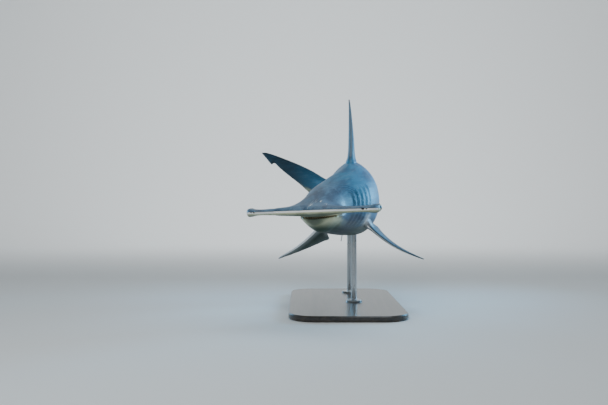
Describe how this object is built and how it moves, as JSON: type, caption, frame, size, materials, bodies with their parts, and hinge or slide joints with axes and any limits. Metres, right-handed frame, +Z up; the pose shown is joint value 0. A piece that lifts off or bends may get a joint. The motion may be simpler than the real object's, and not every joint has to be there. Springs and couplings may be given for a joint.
{
  "type": "hammerhead shark display model",
  "caption": "Life-size scalloped hammerhead shark, turning as it swims, held over a flat display base by short rods.",
  "frame": {"origin": "centre of the stand base's underside, on the floor", "axes": "+Z up; the shark's head points towards -Y and its left side towards +X"},
  "size_m": [0.9018, 2.1202, 1.0994],
  "materials": {
    "body_skin": "matt shark skin: blue-grey back, cream belly",
    "fin_skin": "matt shark skin with darker tips",
    "eye": "wet, glossy eyeball with a dark slit pupil",
    "stand_base": "satin dark lacquer",
    "stand_rods": "fine brushed"
  },
  "bodies": {
    "root": {"anal_fin": "fin_skin", "caudal_lower_lobe": "fin_skin", "caudal_upper_lobe": "fin_skin", "eye_left": "eye", "eye_right": "eye", "first_dorsal_fin": "fin_skin", "gill_region": "body_skin", "head": "body_skin", "lower_jaw": "body_skin", "pectoral_fin_left": "fin_skin", "pectoral_fin_right": "fin_skin", "pelvic_fin_left": "fin_skin", "pelvic_fin_right": "fin_skin", "second_dorsal_fin": "fin_skin", "stand_base": "stand_base", "stand_rod_front": "stand_rods", "stand_rod_rear": "stand_rods", "tail_stalk": "body_skin", "trunk_front": "body_skin", "trunk_rear": "body_skin"}
  },
  "joints": []
}
